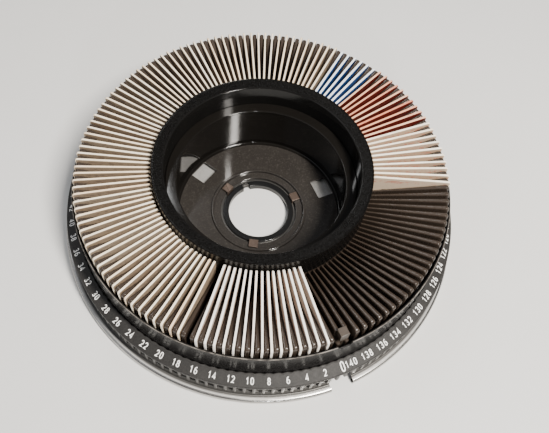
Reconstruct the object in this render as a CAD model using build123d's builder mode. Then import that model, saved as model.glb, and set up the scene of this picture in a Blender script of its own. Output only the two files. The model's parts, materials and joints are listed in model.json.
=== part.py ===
from build123d import *
import math
import os

# Rotary slide tray for a slide projector: 140 numbered slots and a zero position.
# Frame: origin at the centre of the underside, +Z up, zero position facing -Y.
# Slots are numbered clockwise seen from above. All lengths are in millimetres.

# ---- slot pattern ----
SLOT_COUNT = 141
PITCH_DEG = 360.0 / SLOT_COUNT
ZERO_AZIMUTH = -90.0
SLOT_WIDTH = 2.3
SLOT_ROOT_R = 71.1

# ---- slides (2 x 2 inch mounts) ----
SLIDE_INNER_R = 71.6
SLIDE_WIDTH = 49.9
SLIDE_HEIGHT = 50.0
SLIDE_BOTTOM_Z = 8.5
SLIDE_MID_R = SLIDE_INNER_R + SLIDE_WIDTH / 2
MOUNT_CORNER_R = 1.8
APERTURE_W = 34.2
APERTURE_H = 22.9
FILM_W = 37.6
FILM_H = 26.4
FILM_T = 0.16
POCKET_GAP = 0.2
POCKET_T = 0.3

# mount kind: thickness, width, height
WHITE_MOUNT = (1.55, 49.9, 50.0)
CREAM_MOUNT = (1.45, 49.8, 50.0)
BLUE_MOUNT = (1.6, 49.4, 48.8)
RED_MOUNT = (1.45, 49.8, 49.9)
PALE_MOUNT = (1.45, 49.8, 50.0)

# slots that hold each kind
WHITE_SLOTS = range(2, 17)
CREAM_SLOTS = range(18, 91)
BLUE_SLOTS = range(91, 97)
RED_SLOTS = range(97, 107)
PALE_SLOTS = range(107, 117)

# slides that are separate lifting pieces
LOOSE_SLIDES = {
    2: WHITE_MOUNT,
    9: WHITE_MOUNT,
    16: WHITE_MOUNT,
    18: CREAM_MOUNT,
    42: CREAM_MOUNT,
    66: CREAM_MOUNT,
    90: CREAM_MOUNT,
    94: BLUE_MOUNT,
    101: RED_MOUNT,
    107: PALE_MOUNT,
    112: PALE_MOUNT,
    116: PALE_MOUNT,
}

# ---- base plate (pressed sheet steel) ----
SHEET_T = 0.6
BORE_R = 21.0
PLATE_BORE_R = 22.4
DISH_TOP_Z = 2.6
DISH_R = 63.6
DISH_WALL_RUN = 2.9
DECK_TOP_Z = 8.2
DECK_OUTER_R = 130.0
RIM_OUTER_R = 135.4
HEM_W = 3.2
HEM_H = 4.9
HEM_GAP = 1.6
BORE_NOTCH_R = 24.2
BORE_NOTCH_W = 5.0
GATE_INNER_R = 70.6
GATE_INNER_W = 4.9
GATE_OUTER_R = 123.4
GATE_OUTER_W = 6.8
MOUTH_R = 124.6
MOUTH_W = 15.0

# ---- spindle bush on the plate, its three clips and the collar they hook over ----
BUSH_OUTER_R = 25.0
BUSH_FOOT_R = 24.2
BUSH_TOP_Z = 4.6
BUSH_CHAMFER = 0.5
COLLAR_BORE_R = 26.8
COLLAR_LEDGE_R = 31.6
COLLAR_OUTER_R = 33.5
COLLAR_BOTTOM_Z = 3.9
COLLAR_LEDGE_Z = 5.4
COLLAR_TOP_Z = 7.4
CLIP_LEG_T = 1.1
CLIP_REACH_R = 30.9
CLIP_W = 6.4
CLIP_TOP_Z = 7.4
CLIP_COUNT = 3

# ---- latch on the plate, opposite the zero position ----
LATCH_TIP_Y = 27.0
LATCH_TAIL_Y = 44.0
LATCH_W = 8.0
LATCH_TONGUE_W = 4.4
LATCH_SHOULDER_Y = 33.0
LATCH_T = 0.8
LATCH_LIFT = 0.05
PAWL_Y = 36.2
PAWL_T = 0.8
PAWL_W = 4.0
PAWL_RISE = 2.1
LATCH_STOP_Y = 52.6
KEEPER_Y = 41.0
KEEPER_L = 3.0
KEEPER_BASE_Y = 54.6
RAIL_GAP = 0.35
RAIL_W = 4.2
STRAP_LIFT = 1.15
STRAP_T = 0.45
RIVET_R = 0.8
RIVET_HOLE_R = 0.85
RIVET_HEAD_R = 1.4
RIVET_HEAD_T = 0.35
RIVET_X = 6.45
RIVET_YS = (38.0, 50.0)
SPRING_R = 0.75
SPRING_WIRE_R = 0.16
SPRING_TURNS = 9
SPRING_END_GAP = 0.1

# ---- hub ----
FLOOR_BOTTOM_Z = 4.9
FLOOR_TOP_Z = 6.1
FLOOR_R = 58.8
WELL_TOP_R = 55.8
WELL_T = 1.6
LEDGE_Z = 47.0
LEDGE_T = 1.6
LEDGE_RELIEF = 0.4
SKIRT_INNER_R = 63.2
SKIRT_T = 1.8
RIM_R = 71.2
RIM_BOTTOM_Z = 60.4
RIM_INNER_Z = 62.9
RIM_TOP_Z = 64.3
RIM_BEVEL = 0.5
RIM_WALL_T = 2.1
WINDOW_MID_R = 50.0
WINDOW_RADIAL = 11.4
WINDOW_TANGENTIAL = 14.4
LOCK_RIB_INNER_R = 34.0
LOCK_RIB_OUTER_R = 35.4
LOCK_RIB_BOTTOM_Z = 3.9

# ---- slot comb ----
DRUM_INNER_R = 69.0
COMB_BOTTOM_Z = 8.8
COMB_OUTER_R = 122.0
RIB_END_R = 120.7
RIB_SHOULDER_Z = 48.6
RIB_INNER_Z = 43.2
RIB_LEVEL_RUN = 0.8
RIB_OUTER_Z = 57.4
RIB_ROUND = 1.3
CORE_START_R = 85.0
CORE_END_R = 119.6
CORE_WALL = 0.6
CORE_TOP_Z = 44.0

# ---- outer wall, number band and index gear ----
WALL_T = 1.3
WALL_BOTTOM_Z = 9.2
WALL_TOP_Z = 49.7
WALL_NOTCH_W = 7.4
WALL_NOTCH_Z = 46.5
BAND_INNER_Z = 25.6
BAND_OUTER_R = 131.8
BAND_OUTER_Z = 22.0
BAND_LIP_Z = 19.6
BAND_T = 1.6
GEAR_TOP_Z = 19.6
GEAR_RING_INNER_R = 128.0
GEAR_ROOT_R = 129.6
GEAR_TIP_R = 131.3
GEAR_TOOTH_ROOT_W = 3.0
GEAR_TOOTH_TIP_W = 1.7
GEAR_FLANGE_T = 1.6

# ---- zero block ----
BLOCK_W = 5.6
BLOCK_INNER_R = 114.8
BLOCK_OUTER_R = 120.2
BLOCK_BOTTOM_Z = 50.6
BLOCK_TOP_Z = 58.2
TONGUE_W = 2.0
TONGUE_INNER_R = 115.4
TONGUE_OUTER_R = 119.6
TONGUE_BOTTOM_Z = 38.0
POCKET_CLEAR = 0.2


def slot_location(slot, radius=0.0, z=0.0):
    """Place local +X along the radial direction of a slot."""
    azimuth = ZERO_AZIMUTH - slot * PITCH_DEG
    angle = math.radians(azimuth)
    return Location((radius * math.cos(angle), radius * math.sin(angle), z), (0, 0, azimuth))


def save(part, label):
    """Label a finished piece and write it as its own STEP file."""
    part.label = label
    export_step(part, f"parts/{label}.step")


def make_mount(size):
    """A slide mount centred on X, standing on Z = 0, with a sealed film pocket."""
    thickness, width, height = size
    mid_z = height / 2
    with BuildPart() as mount:
        with BuildSketch(Plane.XZ.offset(-thickness / 2)):
            with Locations((0, mid_z)):
                RectangleRounded(width, height, MOUNT_CORNER_R)
                Rectangle(APERTURE_W, APERTURE_H, mode=Mode.SUBTRACT)
        extrude(amount=thickness)
        with Locations((0, 0, mid_z)):
            Box(FILM_W + POCKET_GAP, POCKET_T, FILM_H + POCKET_GAP, mode=Mode.SUBTRACT)
    return mount.part


def make_film(size):
    """The film chip that sits in a mount's pocket."""
    with BuildPart() as film:
        with Locations((0, 0, size[2] / 2)):
            Box(FILM_W, FILM_T, FILM_H)
    return film.part


def in_slots(shape, slots):
    """Copies of one slide piece, standing on the plate in the given slots."""
    return [shape.moved(slot_location(slot, SLIDE_MID_R, SLIDE_BOTTOM_Z)) for slot in slots]


os.makedirs("parts", exist_ok=True)

# ================= base plate =================
deck_bottom_z = DECK_TOP_Z - SHEET_T
dish_bottom_z = DISH_TOP_Z - SHEET_T
hem_mid_r = RIM_OUTER_R - HEM_W / 2
step_run = 1.2
slope_offset = 0.3
gate_points = [
    (-GATE_INNER_W / 2, -GATE_INNER_R),
    (GATE_INNER_W / 2, -GATE_INNER_R),
    (GATE_OUTER_W / 2, -GATE_OUTER_R),
    (MOUTH_W / 2, -MOUTH_R),
    (MOUTH_W / 2, -RIM_OUTER_R - HEM_W),
    (-MOUTH_W / 2, -RIM_OUTER_R - HEM_W),
    (-MOUTH_W / 2, -MOUTH_R),
    (-GATE_OUTER_W / 2, -GATE_OUTER_R),
]
with BuildPart() as base_plate:
    with BuildSketch(Plane.XZ):
        with BuildLine():
            Polyline(
                (PLATE_BORE_R, dish_bottom_z),
                (DISH_R + slope_offset, dish_bottom_z),
                (DISH_R + DISH_WALL_RUN + slope_offset, deck_bottom_z),
                (DECK_OUTER_R - slope_offset, deck_bottom_z),
                (DECK_OUTER_R + step_run - slope_offset, HEM_H - SHEET_T),
                (hem_mid_r, HEM_H - SHEET_T),
                (hem_mid_r, HEM_H),
                (DECK_OUTER_R + step_run, HEM_H),
                (DECK_OUTER_R, DECK_TOP_Z),
                (DISH_R + DISH_WALL_RUN, DECK_TOP_Z),
                (DISH_R, DISH_TOP_Z),
                (PLATE_BORE_R, DISH_TOP_Z),
                close=True,
            )
        make_face()
    revolve(axis=Axis.Z)
    with BuildSketch(Plane.XY.offset(-1)):
        with BuildLine():
            Polyline(*gate_points, close=True)
        make_face()
        with Locations(*[(side * RIVET_X, y) for side in (-1, 1) for y in RIVET_YS]):
            Circle(RIVET_HOLE_R)
    extrude(amount=2 * DECK_TOP_Z, mode=Mode.SUBTRACT)
save(base_plate.part, "base_plate")

# ================= rim bead: folded tube round the plate's edge, parted at the mouth =================
with BuildPart() as rim_bead:
    with BuildSketch(Plane.XZ):
        with Locations((hem_mid_r, HEM_H / 2)):
            SlotOverall(HEM_H, HEM_W, rotation=90)
            SlotOverall(HEM_H - 2 * SHEET_T, HEM_W - 2 * SHEET_T, rotation=90, mode=Mode.SUBTRACT)
        with Locations((hem_mid_r, (HEM_H - HEM_GAP) / 2)):
            Rectangle(HEM_W, HEM_H, align=(Align.MAX, Align.MIN), mode=Mode.SUBTRACT)
    revolve(axis=Axis.Z)
    with Locations((0, -RIM_OUTER_R, 0)):
        Box(MOUTH_W, 2 * (RIM_OUTER_R - MOUTH_R), 3 * HEM_H, mode=Mode.SUBTRACT)
save(rim_bead.part, "rim_bead")

# ================= spindle bush: dark ring lining the bore, its foot level with the rim =================
with BuildPart() as spindle_bush:
    with BuildSketch(Plane.XZ):
        with BuildLine():
            Polyline(
                (BORE_R, 0),
                (BUSH_FOOT_R, 0),
                (BUSH_FOOT_R, dish_bottom_z),
                (PLATE_BORE_R, dish_bottom_z),
                (PLATE_BORE_R, DISH_TOP_Z),
                (BUSH_OUTER_R, DISH_TOP_Z),
                (BUSH_OUTER_R, BUSH_TOP_Z),
                (BORE_R + BUSH_CHAMFER, BUSH_TOP_Z),
                (BORE_R, BUSH_TOP_Z - BUSH_CHAMFER),
                close=True,
            )
        make_face()
    revolve(axis=Axis.Z)
    with BuildSketch(Plane.XY.offset(-1)):
        with Locations((0, BORE_R - 1)):
            Rectangle(BORE_NOTCH_W, BORE_NOTCH_R - BORE_R + 1, align=(Align.CENTER, Align.MIN))
    extrude(amount=2 * BUSH_TOP_Z, mode=Mode.SUBTRACT)
save(spindle_bush.part, "spindle_bush")

# ================= clips that hook over the collar and hold the plate to the tray =================
with BuildPart() as plate_clips:
    with BuildSketch(Plane.XZ):
        with BuildLine():
            Polyline(
                (BUSH_OUTER_R, DISH_TOP_Z),
                (BUSH_OUTER_R + CLIP_LEG_T, DISH_TOP_Z),
                (BUSH_OUTER_R + CLIP_LEG_T, CLIP_TOP_Z - CLIP_LEG_T),
                (CLIP_REACH_R, CLIP_TOP_Z - CLIP_LEG_T),
                (CLIP_REACH_R, CLIP_TOP_Z),
                (BUSH_OUTER_R, CLIP_TOP_Z),
                close=True,
            )
        make_face()
    extrude(amount=CLIP_W / 2, both=True)
clips = [plate_clips.part.rotate(Axis.Z, 360 * turn / CLIP_COUNT) for turn in range(CLIP_COUNT)]
save(Compound(children=clips), "plate_clips")

# ================= latch, its guide, spring and rivets =================
latch_z = DISH_TOP_Z + LATCH_LIFT
with BuildPart() as plate_latch:
    with BuildSketch(Plane.XY.offset(latch_z)):
        with Locations((0, LATCH_SHOULDER_Y)):
            Rectangle(LATCH_W, LATCH_TAIL_Y - LATCH_SHOULDER_Y, align=(Align.CENTER, Align.MIN))
        with Locations((0, LATCH_TIP_Y)):
            Rectangle(LATCH_TONGUE_W, LATCH_SHOULDER_Y - LATCH_TIP_Y + 1, align=(Align.CENTER, Align.MIN))
    extrude(amount=LATCH_T)
    with Locations((0, PAWL_Y, latch_z)):
        Box(PAWL_W, PAWL_T, PAWL_RISE, align=(Align.CENTER, Align.MIN, Align.MIN))
save(plate_latch.part, "plate_latch")

rail_x = LATCH_W / 2 + RAIL_GAP
strap_z = DISH_TOP_Z + STRAP_LIFT
with BuildPart() as latch_guide:
    with BuildSketch(Plane.XY.offset(DISH_TOP_Z)):
        with Locations(*[(side * (rail_x + RAIL_W / 2), LATCH_SHOULDER_Y) for side in (-1, 1)]):
            Rectangle(RAIL_W, KEEPER_BASE_Y - LATCH_SHOULDER_Y, align=(Align.CENTER, Align.MIN))
        with Locations((0, LATCH_STOP_Y)):
            Rectangle(2 * rail_x, KEEPER_BASE_Y - LATCH_STOP_Y, align=(Align.CENTER, Align.MIN))
    extrude(amount=STRAP_LIFT)
    with Locations((0, KEEPER_Y, strap_z)):
        Box(2 * (rail_x + RAIL_W), KEEPER_L, STRAP_T, align=(Align.CENTER, Align.MIN, Align.MIN))
    with Locations(*[(side * RIVET_X, y, strap_z) for side in (-1, 1) for y in RIVET_YS]):
        Cylinder(RIVET_HOLE_R, 4 * STRAP_LIFT, mode=Mode.SUBTRACT)
save(latch_guide.part, "latch_guide")

with BuildPart() as latch_rivets:
    with Locations(*[(side * RIVET_X, y, dish_bottom_z) for side in (-1, 1) for y in RIVET_YS]):
        Cylinder(RIVET_R, strap_z - dish_bottom_z, align=(Align.CENTER, Align.CENTER, Align.MIN))
    with Locations(*[(side * RIVET_X, y, strap_z) for side in (-1, 1) for y in RIVET_YS]):
        Cylinder(RIVET_HEAD_R, RIVET_HEAD_T, align=(Align.CENTER, Align.CENTER, Align.MIN))
save(latch_rivets.part, "latch_rivets")

spring_z = DISH_TOP_Z + LATCH_LIFT + SPRING_R + SPRING_WIRE_R
spring_start_y = LATCH_TAIL_Y + SPRING_END_GAP + SPRING_WIRE_R
spring_length = LATCH_STOP_Y - LATCH_TAIL_Y - 2 * (SPRING_END_GAP + SPRING_WIRE_R)
with BuildPart() as latch_spring:
    with BuildLine() as coil:
        Helix(
            pitch=spring_length / SPRING_TURNS,
            height=spring_length,
            radius=SPRING_R,
            center=(0, spring_start_y, spring_z),
            direction=(0, 1, 0),
        )
    with BuildSketch(Plane(origin=coil.line @ 0, z_dir=coil.line % 0)):
        Circle(SPRING_WIRE_R)
    sweep()
save(latch_spring.part, "latch_spring")

# ================= centre collar =================
with BuildPart() as centre_collar:
    with BuildSketch(Plane.XZ):
        with BuildLine():
            Polyline(
                (COLLAR_BORE_R, COLLAR_BOTTOM_Z),
                (COLLAR_OUTER_R, COLLAR_BOTTOM_Z),
                (COLLAR_OUTER_R, COLLAR_TOP_Z),
                (COLLAR_LEDGE_R, COLLAR_TOP_Z),
                (COLLAR_LEDGE_R, COLLAR_LEDGE_Z),
                (COLLAR_BORE_R, COLLAR_LEDGE_Z),
                close=True,
            )
        make_face()
    revolve(axis=Axis.Z)
save(centre_collar.part, "centre_collar")

# ================= hub floor =================
with BuildPart() as hub_floor:
    with BuildSketch(Plane.XY.offset(FLOOR_BOTTOM_Z)):
        Circle(FLOOR_R)
        Circle(COLLAR_OUTER_R, mode=Mode.SUBTRACT)
        with PolarLocations(WINDOW_MID_R, CLIP_COUNT):
            Rectangle(WINDOW_RADIAL, WINDOW_TANGENTIAL, mode=Mode.SUBTRACT)
    extrude(amount=FLOOR_TOP_Z - FLOOR_BOTTOM_Z)
    with BuildSketch(Plane.XY.offset(LOCK_RIB_BOTTOM_Z)):
        Circle(LOCK_RIB_OUTER_R)
        Circle(LOCK_RIB_INNER_R, mode=Mode.SUBTRACT)
        with Locations((0, LOCK_RIB_OUTER_R)):
            Rectangle(PAWL_W + 1, 2 * (LOCK_RIB_OUTER_R - LOCK_RIB_INNER_R) + 1, mode=Mode.SUBTRACT)
    extrude(amount=FLOOR_BOTTOM_Z - LOCK_RIB_BOTTOM_Z)
save(hub_floor.part, "hub_floor")

# ================= hub well: leaning wall with a ledge round its mouth =================
with BuildPart() as hub_well:
    with BuildSketch(Plane.XZ):
        with BuildLine():
            Polyline(
                (FLOOR_R, FLOOR_BOTTOM_Z),
                (FLOOR_R + WELL_T, FLOOR_BOTTOM_Z),
                (FLOOR_R + WELL_T, FLOOR_TOP_Z),
                (WELL_TOP_R + WELL_T, LEDGE_Z - LEDGE_T),
                (SKIRT_INNER_R, LEDGE_Z - LEDGE_T),
                (SKIRT_INNER_R, LEDGE_Z - LEDGE_RELIEF),
                (SKIRT_INNER_R - LEDGE_RELIEF, LEDGE_Z),
                (WELL_TOP_R, LEDGE_Z),
                (FLOOR_R, FLOOR_TOP_Z),
                close=True,
            )
        make_face()
    revolve(axis=Axis.Z)
save(hub_well.part, "hub_well")

# ================= hub rim: top ring with an inner skirt and an outer one to the comb =================
with BuildPart() as hub_rim:
    with BuildSketch(Plane.XZ):
        with BuildLine():
            Polyline(
                (SKIRT_INNER_R, LEDGE_Z - LEDGE_T),
                (SKIRT_INNER_R + SKIRT_T, LEDGE_Z - LEDGE_T),
                (SKIRT_INNER_R + SKIRT_T, RIM_BOTTOM_Z),
                (RIM_R - RIM_WALL_T, RIM_BOTTOM_Z),
                (RIM_R - RIM_WALL_T, RIB_INNER_Z),
                (RIM_R, RIB_INNER_Z),
                (RIM_R, RIM_TOP_Z - RIM_BEVEL),
                (RIM_R - RIM_BEVEL, RIM_TOP_Z),
                (SKIRT_INNER_R + RIM_BEVEL, RIM_INNER_Z),
                (SKIRT_INNER_R, RIM_INNER_Z - RIM_BEVEL),
                close=True,
            )
        make_face()
    revolve(axis=Axis.Z)
save(hub_rim.part, "hub_rim")

# ================= slot comb: hub drum with a rib between every two slots =================
slot_length = COMB_OUTER_R - SLOT_ROOT_R + 2
slot_mid_r = SLOT_ROOT_R + slot_length / 2
core_inner_w = 2 * math.pi * CORE_START_R / SLOT_COUNT - SLOT_WIDTH - 2 * CORE_WALL
core_outer_w = 2 * math.pi * CORE_END_R / SLOT_COUNT - SLOT_WIDTH - 2 * CORE_WALL
with BuildPart() as slot_comb:
    with BuildSketch(Plane.XY.offset(COMB_BOTTOM_Z)):
        Circle(COMB_OUTER_R)
        Circle(DRUM_INNER_R, mode=Mode.SUBTRACT)
        with PolarLocations(slot_mid_r, SLOT_COUNT, start_angle=ZERO_AZIMUTH):
            Rectangle(slot_length, SLOT_WIDTH, mode=Mode.SUBTRACT)
    extrude(amount=RIM_TOP_Z - COMB_BOTTOM_Z)
    with BuildSketch(Plane.XZ):
        with BuildLine():
            Polyline(
                (DRUM_INNER_R - 1, RIB_INNER_Z),
                (SLOT_ROOT_R + RIB_LEVEL_RUN, RIB_INNER_Z),
                (RIB_END_R - RIB_ROUND, RIB_OUTER_Z),
                (RIB_END_R, RIB_OUTER_Z - RIB_ROUND),
                (RIB_END_R, RIB_SHOULDER_Z),
                (COMB_OUTER_R + WALL_T, RIB_SHOULDER_Z),
                (COMB_OUTER_R + WALL_T, RIM_TOP_Z + 1),
                (DRUM_INNER_R - 1, RIM_TOP_Z + 1),
                close=True,
            )
        make_face()
    revolve(axis=Axis.Z, mode=Mode.SUBTRACT)
    with BuildSketch(Plane.XY.offset(COMB_BOTTOM_Z)):
        with PolarLocations(0, SLOT_COUNT, start_angle=ZERO_AZIMUTH + PITCH_DEG / 2):
            Polygon(
                (CORE_START_R, -core_inner_w / 2),
                (CORE_END_R, -core_outer_w / 2),
                (CORE_END_R, core_outer_w / 2),
                (CORE_START_R, core_inner_w / 2),
                align=None,
            )
    extrude(amount=CORE_TOP_Z - COMB_BOTTOM_Z, mode=Mode.SUBTRACT)
    with Locations(slot_location(0, BLOCK_INNER_R - POCKET_CLEAR, BLOCK_BOTTOM_Z)):
        Box(
            COMB_OUTER_R - BLOCK_INNER_R + 1,
            BLOCK_W + 2 * POCKET_CLEAR,
            BLOCK_TOP_Z - BLOCK_BOTTOM_Z,
            align=(Align.MIN, Align.CENTER, Align.MIN),
            mode=Mode.SUBTRACT,
        )
save(slot_comb.part, "slot_comb")

# ================= outer wall =================
wall_outer_r = COMB_OUTER_R + WALL_T
with BuildPart() as outer_wall:
    with BuildSketch(Plane.XY.offset(WALL_BOTTOM_Z)):
        Circle(wall_outer_r)
        Circle(COMB_OUTER_R, mode=Mode.SUBTRACT)
    extrude(amount=WALL_TOP_Z - WALL_BOTTOM_Z)
    with Locations((0, -COMB_OUTER_R, WALL_NOTCH_Z)):
        Box(
            WALL_NOTCH_W,
            4 * WALL_T,
            WALL_TOP_Z,
            align=(Align.CENTER, Align.CENTER, Align.MIN),
            mode=Mode.SUBTRACT,
        )
save(outer_wall.part, "outer_wall")

# ================= number band =================
with BuildPart() as number_band:
    with BuildSketch(Plane.XZ):
        with BuildLine():
            Polyline(
                (wall_outer_r, BAND_INNER_Z),
                (BAND_OUTER_R, BAND_OUTER_Z),
                (BAND_OUTER_R, BAND_LIP_Z),
                (BAND_OUTER_R - BAND_T, BAND_LIP_Z),
                (BAND_OUTER_R - BAND_T, BAND_OUTER_Z - BAND_T / 2),
                (wall_outer_r, BAND_INNER_Z - BAND_T),
                close=True,
            )
        make_face()
    revolve(axis=Axis.Z)
save(number_band.part, "number_band")

# ================= index gear under the band =================
with BuildPart() as index_gear:
    with BuildSketch(Plane.XY.offset(WALL_BOTTOM_Z)):
        Circle(GEAR_ROOT_R)
        with PolarLocations(0, SLOT_COUNT, start_angle=ZERO_AZIMUTH + PITCH_DEG / 2):
            Polygon(
                (GEAR_RING_INNER_R + WALL_T / 2, -GEAR_TOOTH_ROOT_W / 2),
                (GEAR_TIP_R, -GEAR_TOOTH_TIP_W / 2),
                (GEAR_TIP_R, GEAR_TOOTH_TIP_W / 2),
                (GEAR_RING_INNER_R + WALL_T / 2, GEAR_TOOTH_ROOT_W / 2),
                align=None,
            )
        Circle(GEAR_RING_INNER_R, mode=Mode.SUBTRACT)
    extrude(amount=GEAR_TOP_Z - WALL_BOTTOM_Z)
    with BuildSketch(Plane.XY.offset(WALL_BOTTOM_Z)):
        Circle(GEAR_RING_INNER_R + WALL_T / 2)
        Circle(wall_outer_r, mode=Mode.SUBTRACT)
    extrude(amount=GEAR_FLANGE_T)
save(index_gear.part, "index_gear")

# ================= zero block =================
with BuildPart() as zero_block:
    with Locations(slot_location(0, BLOCK_INNER_R, BLOCK_BOTTOM_Z)):
        Box(
            BLOCK_OUTER_R - BLOCK_INNER_R,
            BLOCK_W,
            BLOCK_TOP_Z - BLOCK_BOTTOM_Z,
            align=(Align.MIN, Align.CENTER, Align.MIN),
        )
    with Locations(slot_location(0, TONGUE_INNER_R, TONGUE_BOTTOM_Z)):
        Box(
            TONGUE_OUTER_R - TONGUE_INNER_R,
            TONGUE_W,
            BLOCK_BOTTOM_Z - TONGUE_BOTTOM_Z,
            align=(Align.MIN, Align.CENTER, Align.MIN),
        )
save(zero_block.part, "zero_block")

# ================= slides that lift out one by one =================
for slot, size in LOOSE_SLIDES.items():
    mount_copy = in_slots(make_mount(size), [slot])[0]
    save(mount_copy, f"slide_{slot:03d}_mount")
    film_copy = in_slots(make_film(size), [slot])[0]
    save(film_copy, f"slide_{slot:03d}_film")

# ================= the rest of the slides, grouped by kind of mount =================
GROUPS = {
    "white_slides": (WHITE_SLOTS, WHITE_MOUNT),
    "cream_slides": (CREAM_SLOTS, CREAM_MOUNT),
    "blue_slides": (BLUE_SLOTS, BLUE_MOUNT),
    "red_slides": (RED_SLOTS, RED_MOUNT),
    "pale_slides": (PALE_SLOTS, PALE_MOUNT),
}
for group, (slots, size) in GROUPS.items():
    kept_slots = [slot for slot in slots if slot not in LOOSE_SLIDES]
    with BuildPart() as group_mounts:
        add(in_slots(make_mount(size), kept_slots))
    save(group_mounts.part, f"{group}_mounts")
    with BuildPart() as group_films:
        add(in_slots(make_film(size), kept_slots))
    save(group_films.part, f"{group}_films")
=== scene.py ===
import bpy
import bmesh
import json
import math
import random
import numpy as np
from mathutils import Vector, Matrix

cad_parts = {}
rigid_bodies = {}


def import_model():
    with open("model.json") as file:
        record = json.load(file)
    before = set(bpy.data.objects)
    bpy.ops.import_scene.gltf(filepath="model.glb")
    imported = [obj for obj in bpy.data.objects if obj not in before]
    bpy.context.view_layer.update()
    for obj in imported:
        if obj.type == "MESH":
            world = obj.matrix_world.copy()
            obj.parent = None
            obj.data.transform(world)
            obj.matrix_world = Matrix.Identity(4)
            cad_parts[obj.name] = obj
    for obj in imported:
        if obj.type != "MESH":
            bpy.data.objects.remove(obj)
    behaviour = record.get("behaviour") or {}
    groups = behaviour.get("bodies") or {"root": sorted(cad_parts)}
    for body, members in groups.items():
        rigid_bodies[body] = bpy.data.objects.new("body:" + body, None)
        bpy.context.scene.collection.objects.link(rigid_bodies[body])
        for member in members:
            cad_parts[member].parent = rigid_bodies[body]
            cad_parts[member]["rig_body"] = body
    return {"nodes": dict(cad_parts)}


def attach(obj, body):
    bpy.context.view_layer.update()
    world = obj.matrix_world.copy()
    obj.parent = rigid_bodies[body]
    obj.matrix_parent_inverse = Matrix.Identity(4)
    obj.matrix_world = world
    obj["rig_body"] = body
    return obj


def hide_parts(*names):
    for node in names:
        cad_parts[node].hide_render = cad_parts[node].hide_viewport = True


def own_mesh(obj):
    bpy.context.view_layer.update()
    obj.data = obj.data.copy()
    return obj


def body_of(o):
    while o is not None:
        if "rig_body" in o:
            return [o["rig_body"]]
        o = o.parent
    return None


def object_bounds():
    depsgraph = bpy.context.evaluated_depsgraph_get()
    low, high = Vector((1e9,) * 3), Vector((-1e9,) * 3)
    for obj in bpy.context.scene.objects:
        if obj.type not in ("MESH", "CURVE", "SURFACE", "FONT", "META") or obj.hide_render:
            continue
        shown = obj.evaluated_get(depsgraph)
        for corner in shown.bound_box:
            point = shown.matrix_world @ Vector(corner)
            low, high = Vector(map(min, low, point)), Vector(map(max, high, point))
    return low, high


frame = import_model()
CAD_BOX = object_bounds()
NODES = frame["nodes"]
RNG = random.Random(140)

# Lengths are in millimetres and become metres in the meshes and materials.
MM = 0.001
SLOT_COUNT = 141
PITCH = 2 * math.pi / SLOT_COUNT
ZERO_AZIMUTH = -math.pi / 2


def azimuth(slot):
    return ZERO_AZIMUTH - slot * PITCH


def ring_size(node):
    """Smallest and largest radius, lowest and highest z of a CAD node, in mm."""
    me = NODES[node].data
    co = np.empty(len(me.vertices) * 3)
    me.vertices.foreach_get("co", co)
    x, y, z = co.reshape(-1, 3).T / MM
    r = np.hypot(x, y)
    return float(r.min()), float(r.max()), float(z.min()), float(z.max())


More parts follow.
